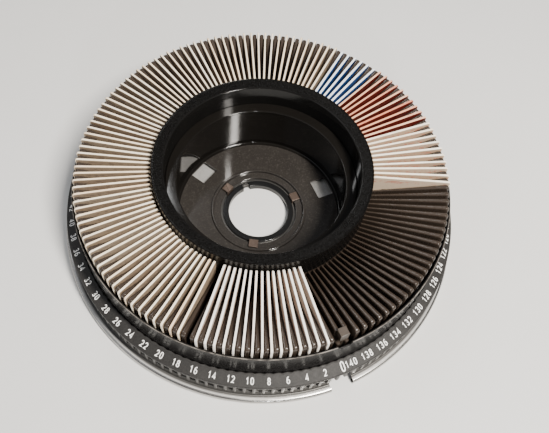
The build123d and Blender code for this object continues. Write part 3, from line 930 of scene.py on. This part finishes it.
def wall_shape(a, r, z):
    """A dip in the top edge at the zero position."""
    off = abs((a - ZERO_AZIMUTH + math.pi) % (2 * math.pi) - math.pi) * wall_out
    if z > wall_top - 1.2:
        z -= DIP_DEPTH * min(1.0, max(0.0, (DIP_HALF - off) / DIP_FLANK))
    return r, z


wall_outline = soften(
    [(wall_r, wall_low), (wall_out, wall_low), (wall_out, wall_top), (wall_r, wall_top)],
    [0.2, 0.2, 0.5, 0.5],
    steps=5,
)
turned_look(
    "outer_wall",
    wall_outline,
    WALL,
    "tray",
    "gloss_black",
    segments=6 * SLOT_COUNT,
    shape=wall_shape,
)

# ------------------------------------------------------------------ number band
band_r, band_out, band_low, band_top = ring_size("number_band")
BAND_LIP = 0.9
BAND_RIM_Z = 22.0
BAND_WALL = 1.6
SCALLOP = 0.55


def band_shape(a, r, z):
    """Scallops on the inner edge, one to a slot."""
    if r < band_r + 1.6 and z > band_top - 2.0:
        r += SCALLOP * (1 - abs(math.cos((a - ZERO_AZIMUTH) * SLOT_COUNT / 2)))
    return r, z


band_outline = soften(
    [
        (band_r, band_top - 1.9),
        (band_r + 0.1, band_top),
        (band_r + BAND_LIP, band_top),
        (band_r + BAND_LIP + 1.0, band_top - (band_top - BAND_RIM_Z) / (band_out - band_r - BAND_LIP)),
        (band_out, BAND_RIM_Z),
        (band_out, band_low),
        (band_out - BAND_WALL, band_low),
        (band_out - BAND_WALL, BAND_RIM_Z - 0.8),
    ],
    [0.0, 0.15, 0.2, 0.0, 0.8, 0.25, 0.2, 0.4],
)
turned_look(
    "number_band",
    band_outline,
    BAND,
    "tray",
    "matte_grey",
    segments=8 * SLOT_COUNT,
    shape=band_shape,
)

# ------------------------------------------------------------------ printed numbers
OVAL = arc(0.5, 0.68, 0.42, 0.32, 0, 180) + arc(0.5, 0.32, 0.42, 0.32, 180, 360) + [(0.92, 0.68)]
SIX_TAIL = [(0.08, 0.30), (0.10, 0.55), (0.20, 0.78), (0.42, 0.95), (0.78, 1.0)]
STROKES = {
    "0": [OVAL],
    "1": [[(0.60, 0.0), (0.60, 1.0), (0.22, 0.74)]],
    "2": [arc(0.5, 0.70, 0.42, 0.30, 165, -30, 9) + [(0.08, 0.02), (0.94, 0.02)]],
    "3": [arc(0.48, 0.745, 0.38, 0.255, 155, -80, 9) + arc(0.48, 0.26, 0.43, 0.26, 80, -155, 9)],
    "4": [[(0.72, 0.0), (0.72, 1.0), (0.04, 0.28), (1.0, 0.28)]],
    "5": [[(0.88, 0.98), (0.18, 0.98), (0.12, 0.56)] + arc(0.47, 0.32, 0.43, 0.32, 118, -145, 10)],
    "6": [arc(0.5, 0.30, 0.42, 0.30, 0, 360, 16), SIX_TAIL],
    "7": [[(0.06, 0.98), (0.92, 0.98), (0.38, 0.0)]],
    "8": [arc(0.5, 0.745, 0.35, 0.255, 0, 360, 14), arc(0.5, 0.26, 0.42, 0.26, 0, 360, 14)],
    "9": [arc(0.5, 0.70, 0.42, 0.30, 0, 360, 16), [(1 - x, 1 - y) for x, y in SIX_TAIL]],
}
# Width, height and weight of a character, the gap between two, and how far the print stands proud.
NUMBER_SIZE = (2.35, 4.4, 0.56)
ZERO_SIZE = (3.0, 6.6, 0.72)
NUMBER_GAP = 0.5
NUMBER_LIFT = 0.07


def ribbon(line, weight):
    """Quads along a line of (x, y) points, mitred where it turns."""
    line = [Vector(p) for p in line]
    closed = (line[0] - line[-1]).length < 1e-3
    pts = []
    for i, p in enumerate(line):
        ahead = line[i + 1] - p if i + 1 < len(line) else None
        behind = p - line[i - 1] if i else None
        if closed and behind is None:
            behind = line[0] - line[-2]
        if closed and ahead is None:
            ahead = line[1] - line[0]
        legs = [d for d in (behind, ahead) if d is not None and d.length > 1e-4]
        sides = [Vector((-d.y, d.x)).normalized() for d in legs]
        normal = sum(sides, Vector((0, 0))).normalized()
        reach = weight / 2 / max(0.5, normal.dot(sides[0]))
        pts += [tuple(p + normal * reach), tuple(p - normal * reach)]
    quads = [(2 * i, 2 * i + 1, 2 * i + 3, 2 * i + 2) for i in range(len(line) - 1)]
    return pts, quads


def number_shape(text, width, height, weight):
    """Points and quads of a short number, centred, in mm."""
    pts, quads = [], []
    half = weight / 2
    length = len(text) * width + (len(text) - 1) * NUMBER_GAP
    for i, char in enumerate(text):
        for line in STROKES[char]:
            placed = [(x * (width - weight) + half, y * (height - weight) + half) for x, y in line]
            base = len(pts)
            stroke, stroke_quads = ribbon(placed, weight)
            pts += [(x + i * (width + NUMBER_GAP) - length / 2, y - height / 2) for x, y in stroke]
            quads += [tuple(base + k for k in q) for q in stroke_quads]
    return pts, quads


# The numbers lie on the band's cone, each upright in the middle of the slope.
cone_r = band_r + BAND_LIP
mid_r = (cone_r + band_out) / 2
slope = Vector((band_out - cone_r, BAND_RIM_Z - band_top)).normalized()
outward = Vector((-slope.y, slope.x))
points, faces = [], []
for number in range(0, SLOT_COUNT, 2):
    glyph, quads = number_shape(str(number), *(NUMBER_SIZE if number else ZERO_SIZE))
    base = len(points)
    for x, y in glyph:
        down = (mid_r - cone_r) / slope.x - y
        r = cone_r + slope.x * down + outward.x * NUMBER_LIFT
        z = band_top + slope.y * down + outward.y * NUMBER_LIFT
        a = azimuth(number) + x / mid_r
        points.append((r * math.cos(a), r * math.sin(a), z))
    faces.extend(tuple(base + i for i in f) for f in quads)
build("number_print", points, faces, [INK], "tray", "white_mount", weighted=False)

# ------------------------------------------------------------------ index gear
gear_r, gear_tip, gear_low, gear_top = ring_size("index_gear")
GEAR_WALL = 1.6
TOOTH_DEPTH = 1.7
TOOTH_HALF = 1.45
TOOTH_FLANK = 0.6
STEPS_PER_TOOTH = 12
gear_root = gear_tip - TOOTH_DEPTH


def gear_shape(a, r, z):
    """Teeth with rounded flanks, one to a slot."""
    if r < gear_root - 0.2:
        return r, z
    phase = ((a - azimuth(0.5)) / PITCH + 0.5) % 1.0 - 0.5
    off = abs(phase) * PITCH * gear_tip
    rise = min(1.0, max(0.0, (TOOTH_HALF - off) / TOOTH_FLANK))
    rise = rise * rise * (3 - 2 * rise)
    return gear_root + (gear_tip - gear_root) * rise, z


gear_outline = [
    (gear_root - GEAR_WALL, gear_top),
    (gear_root - GEAR_WALL, gear_low + GEAR_WALL),
    (gear_r, gear_low + GEAR_WALL),
    (gear_r, gear_low),
    (gear_root, gear_low),
    (gear_root, gear_low + 0.4),
    (gear_root, gear_top - 0.4),
    (gear_root, gear_top),
]
turned_look(
    "index_gear",
    gear_outline,
    GEAR,
    "tray",
    "gloss_black",
    segments=SLOT_COUNT * STEPS_PER_TOOTH,
    shape=gear_shape,
    angle=50.0,
)

# ------------------------------------------------------------------ base plate
bore_r, hem_mid, _, deck_top = ring_size("base_plate")
SHEET = 0.6
DISH_Z = 2.6
DISH_R = 63.6
DISH_RISE = 2.9
DECK_R = 130.0
DECK_RISE = 1.2
# A slanted step of the sheet has its underside a little aside from its top.
SKEW = 0.3
HEM_R = 1.6
HEM_TOP = 4.9
dish_low = DISH_Z - SHEET


def hem(radius):
    """The folded tube of the rim at one radius, from its top round the outside to the inside."""
    upper = arc(hem_mid, HEM_TOP - HEM_R, radius, radius, 90, 0, steps=8)
    return upper + arc(hem_mid, HEM_R, radius, radius, 0, -180, steps=16)


# The last two corners of each side only close the outline for soften, and are dropped.
top_side = soften(
    [
        (bore_r, DISH_Z),
        (DISH_R, DISH_Z),
        (DISH_R + DISH_RISE, deck_top),
        (DECK_R, deck_top),
        (DECK_R + DECK_RISE, HEM_TOP),
        (hem_mid, HEM_TOP),
        (hem_mid, -5),
        (bore_r, -5),
    ],
    [0.0, 1.2, 1.0, 0.9, 0.5, 0.0, 0.0, 0.0],
)[:-2]
low_side = soften(
    [
        (bore_r, dish_low),
        (DISH_R + SKEW, dish_low),
        (DISH_R + DISH_RISE + SKEW, deck_top - SHEET),
        (DECK_R - SKEW, deck_top - SHEET),
        (DECK_R + DECK_RISE - SKEW, HEM_TOP - SHEET),
        (hem_mid, HEM_TOP - SHEET),
        (hem_mid, 20),
        (bore_r, 20),
    ],
    [0.0, 1.4, 0.7, 0.6, 0.7, 0.0, 0.0, 0.0],
)[:-2]
plate = turned_look(
    "base_plate", top_side + low_side[::-1], PLATE, "base", "plated_steel", segments=480
)
bead = turned_look(
    "rim_bead", hem(HEM_R) + hem(HEM_R - SHEET)[::-1], SHADED_BEAD_STEEL, "base", "plated_steel", segments=480
)
# The slide gate at the zero position widens into the mouth in the rim.
gate_side = [(2.45, -70.6), (3.4, -123.4), (7.5, -124.6), (7.5, -140.0)]
gate = [(-x, y) for x, y in gate_side] + gate_side[::-1]
for pressed in (plate, bead):
    cut(pressed, [cutter(gate, -2, 12)])

bush_r, bush_out, bush_low, bush_top = ring_size("spindle_bush")
NOTCH_HALF = 2.5
NOTCH_IN = 19.0
NOTCH_OUT = 24.2
neck_r = bush_out - 0.8
bush_outline = soften(
    [
        (bush_r, bush_low),
        (neck_r, bush_low),
        (neck_r, dish_low),
        (bore_r, dish_low),
        (bore_r, DISH_Z),
        (bush_out, DISH_Z),
        (bush_out, bush_top),
        (bush_r, bush_top),
    ],
    [0.2, 0.3, 0.1, 0.0, 0.0, 0.1, 0.4, 0.6],
)
bush = turned_look("spindle_bush", bush_outline, BUSH, "base", "bush_black", segments=360)
notch = rectangle(-NOTCH_HALF, NOTCH_HALF, NOTCH_IN, NOTCH_OUT)
cut(bush, [cutter(notch, -2, 8)], bevel=0.15)

# ------------------------------------------------------------------ clips, latch and zero block
refined("plate_clips", CLIP, 0.3)
refined("plate_latch", ZINC, 0.12)
refined("latch_guide", ZINC, 0.12)
refined("latch_rivets", WIRE, 0.1)
refined("zero_block", BLOCK, 0.45)
spring = refined("latch_spring", WIRE, 0.0)
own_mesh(spring)

# ------------------------------------------------------------------ slides
# Width, height, thickness and softness of the edges of each kind of mount.
MOUNT_SIZES = {
    "white": (49.9, 50.0, 1.55, 0.34),
    "cream": (49.8, 50.0, 1.45, 0.42),
    "blue": (49.4, 48.8, 1.6, 0.3),
    "red": (49.8, 49.9, 1.45, 0.36),
    "pale": (49.8, 50.0, 1.45, 0.4),
}
MOUNT_SLOTS = {
    "white": range(2, 17),
    "cream": range(18, 91),
    "blue": range(91, 97),
    "red": range(97, 107),
    "pale": range(107, 117),
}
CORNER_R = 1.8
CORNER_STEPS = 5
SEAM = 0.12
APERTURE = (34.2, 22.9)
FILM_CHIP = (37.2, 26.0, 0.14)
SLIDE_IN_R = 71.6
SLIDE_MID_R = SLIDE_IN_R + MOUNT_SIZES["white"][0] / 2
SLIDE_LOW = 8.5


def rounded_loop(w, h, corner):
    """Points of a rounded rectangle centred on the origin."""
    pts = []
    for qx, qz, start in ((1, 1, 0), (-1, 1, 90), (-1, -1, 180), (1, -1, 270)):
        cx, cz = qx * (w / 2 - corner), qz * (h / 2 - corner)
        pts += arc(cx, cz, corner, corner, start, start + 90, CORNER_STEPS)
    return pts


def mount_shape(width, height, thick, soft):
    """One mount about its own centre: points, faces, and 1 for each printed face."""
    aw, ah = APERTURE
    h = thick / 2
    # Each loop's width, height, corner and y, round the section from the face at +y and back to it.
    loops = [
        (width - 2 * soft, height - 2 * soft, CORNER_R - soft, h),
        (width - 0.5 * soft, height - 0.5 * soft, CORNER_R - 0.25 * soft, h - 0.35 * soft),
        (width, height, CORNER_R, h - soft),
        (width - SEAM, height - SEAM, CORNER_R - 0.05, 0.04),
        (width - SEAM, height - SEAM, CORNER_R - 0.05, -0.04),
        (width, height, CORNER_R, -h + soft),
        (width - 0.5 * soft, height - 0.5 * soft, CORNER_R - 0.25 * soft, -h + 0.35 * soft),
        (width - 2 * soft, height - 2 * soft, CORNER_R - soft, -h),
        (aw + 0.5, ah + 0.5, 1.2, -h),
        (aw, ah, 1.0, -h + 0.25),
        (aw, ah, 1.0, h - 0.25),
        (aw + 0.5, ah + 0.5, 1.2, h),
    ]
    face_loops = (7, 11)
    pts = [(x, y, z) for w, ht, corner, y in loops for x, z in rounded_loop(w, ht, corner)]
    m = 4 * (CORNER_STEPS + 1)
    n = len(loops)
    quads, printed = [], []
    for i in range(n):
        j = (i + 1) % n
        for k in range(m):
            after = (k + 1) % m
            quads.append((i * m + k, i * m + after, j * m + after, j * m + k))
            printed.append(1 if i in face_loops else 0)
    return pts, quads, printed


def film_shape():
    """The chip of film inside a mount."""
    x, z, y = (v / 2 for v in FILM_CHIP)
    pts = [(cx, cy, cz) for cy in (-y, y) for cx, cz in rectangle(-x, x, -z, z)]
    quads = [(3, 2, 1, 0), (4, 5, 6, 7), (0, 1, 5, 4), (1, 2, 6, 5), (2, 3, 7, 6), (3, 0, 4, 7)]
    return pts, quads


def slides_look(name, kind, slots, body, mount_node, film_node):
    """The slides of some slots as one mount piece and one film piece, each slide a little askew."""
    height = MOUNT_SIZES[kind][1]
    shape, quads, printed = mount_shape(*MOUNT_SIZES[kind])
    chip, chip_quads = film_shape()
    points, faces, indices, film_points, film_faces = [], [], [], [], []
    for slot in slots:
        # Degrees of lean and turn, mm of place outwards and of a low top edge, share of the thickness.
        lean = RNG.uniform(-0.35, 0.35)
        turn = RNG.uniform(-0.25, 0.25)
        out = RNG.uniform(-0.22, 0.12)
        drop = RNG.uniform(0.0, 0.25)
        thin = RNG.uniform(0.86, 1.0)
        # A slide on its own body stands nearly straight, so that it lifts clear of its slot.
        if len(slots) == 1:
            lean, turn, out, drop = 0.15 * lean, 0.15 * turn, 0.0, 0.0
        place = (
            Matrix.Rotation(azimuth(slot), 4, "Z")
            @ Matrix.Translation((SLIDE_MID_R + out, 0, SLIDE_LOW + height / 2))
            @ Matrix.Rotation(math.radians(turn), 4, "Z")
            @ Matrix.Rotation(math.radians(lean), 4, "X")
        )
        base = len(points)
        for x, y, z in shape:
            points.append(tuple(place @ Vector((x, y * thin, z - (drop if z > 0 else 0.0)))))
        faces.extend(tuple(base + i for i in f) for f in quads)
        indices.extend(printed)
        base = len(film_points)
        film_points.extend(tuple(place @ Vector(p)) for p in chip)
        film_faces.extend(tuple(base + i for i in f) for f in chip_quads)
    looks = MOUNT_LOOKS[kind]
    mount = build(
        name + "_mount_look", points, faces, looks, body, kind + "_mount", indices=indices, angle=45.0
    )
    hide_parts(mount_node)
    film = build(name + "_film_look", film_points, film_faces, [FILM], body, "film", weighted=False)
    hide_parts(film_node)


for kind, slots in MOUNT_SLOTS.items():
    loose = [s for s in slots if "slide_%03d_mount" % s in NODES]
    kept = [s for s in slots if s not in loose]
    slides_look(kind + "_slides", kind, kept, "tray", kind + "_slides_mounts", kind + "_slides_films")
    for s in loose:
        tag = "slide_%03d" % s
        slides_look(tag, kind, [s], tag, tag + "_mount", tag + "_film")

# ------------------------------------------------------------------ studio
# The studio, its camera and its lights are in metres.
FLOOR_HALF = 30.0
floor_corners = rectangle(-FLOOR_HALF, FLOOR_HALF, -FLOOR_HALF, FLOOR_HALF)
floor_mesh = bpy.data.meshes.new("studio_floor")
floor_mesh.from_pydata([(x, y, 0) for x, y in floor_corners], [], [(0, 1, 2, 3)])
floor_mesh.materials.append(paper_material())
floor = new_object("studio_floor", floor_mesh)
floor.location.z = CAD_BOX[0].z - 0.1 * MM

world = bpy.data.worlds.new("studio")
world.use_nodes = True
sky = world.node_tree.nodes["Background"]
sky.inputs["Color"].default_value = (0.93, 0.95, 1.0, 1)
sky.inputs["Strength"].default_value = 0.17
bpy.context.scene.world = world

# ------------------------------------------------------------------ camera
HEADING = math.radians(-23.77)
ELEVATION = math.radians(59.35)
ROLL = math.radians(2.07)
DISTANCE = 0.43574
LOOK_AT = Vector((-0.01951, -0.00736, 0.039))
LENS = 43.348853
SHIFT = (0.0670, -0.0254)
back = Vector(
    (
        math.sin(HEADING) * math.cos(ELEVATION),
        -math.cos(HEADING) * math.cos(ELEVATION),
        math.sin(ELEVATION),
    )
)
level = Vector((0, 0, 1)).cross(back).normalized()
upright = back.cross(level)
right = math.cos(ROLL) * level + math.sin(ROLL) * upright
up = -math.sin(ROLL) * level + math.cos(ROLL) * upright

cam_data = bpy.data.cameras.new("camera")
cam_data.sensor_fit = "HORIZONTAL"
cam_data.sensor_width = 36.0
cam_data.lens = LENS
cam_data.shift_x, cam_data.shift_y = SHIFT
cam_data.clip_start, cam_data.clip_end = 0.01, 50.0
cam = new_object("camera", cam_data)
cam.location = LOOK_AT + back * DISTANCE
cam.rotation_mode = "QUATERNION"
cam.rotation_quaternion = Matrix((right, up, back)).transposed().to_quaternion()
bpy.context.scene.camera = cam

# ------------------------------------------------------------------ lights
TO_RIGHT = Vector((math.cos(HEADING), math.sin(HEADING), 0))
TO_CAMERA = Vector((math.sin(HEADING), -math.cos(HEADING), 0))


def area(name, place, target_z, size, power, colour=(1, 1, 1)):
    """An area light aimed at a height on the axis. place is rightwards, towards the camera and up."""
    light = bpy.data.lights.new(name, "AREA")
    light.shape = "RECTANGLE"
    light.size, light.size_y = size
    light.energy = power
    light.color = colour
    ob = new_object(name, light)
    rightwards, nearer, height = place
    ob.location = rightwards * TO_RIGHT + nearer * TO_CAMERA + Vector((0, 0, height))
    ob.rotation_mode = "QUATERNION"
    ob.rotation_quaternion = (Vector((0, 0, target_z)) - ob.location).to_track_quat("-Z", "Y")


area("key", (0.42, 0.42, 1.1), 0.03, size=(0.11, 0.42), power=42.0, colour=(1.0, 0.95, 0.88))
area("fill", (-0.9, 0.1, 0.9), 0.03, size=(1.3, 1.3), power=3.6, colour=(0.94, 0.96, 1.0))
area("back", (-0.30, -0.85, 1.05), 0.04, size=(0.08, 0.6), power=3.5)
area("front", (0.20, 1.2, 0.62), 0.05, size=(0.06, 0.06), power=3.0)
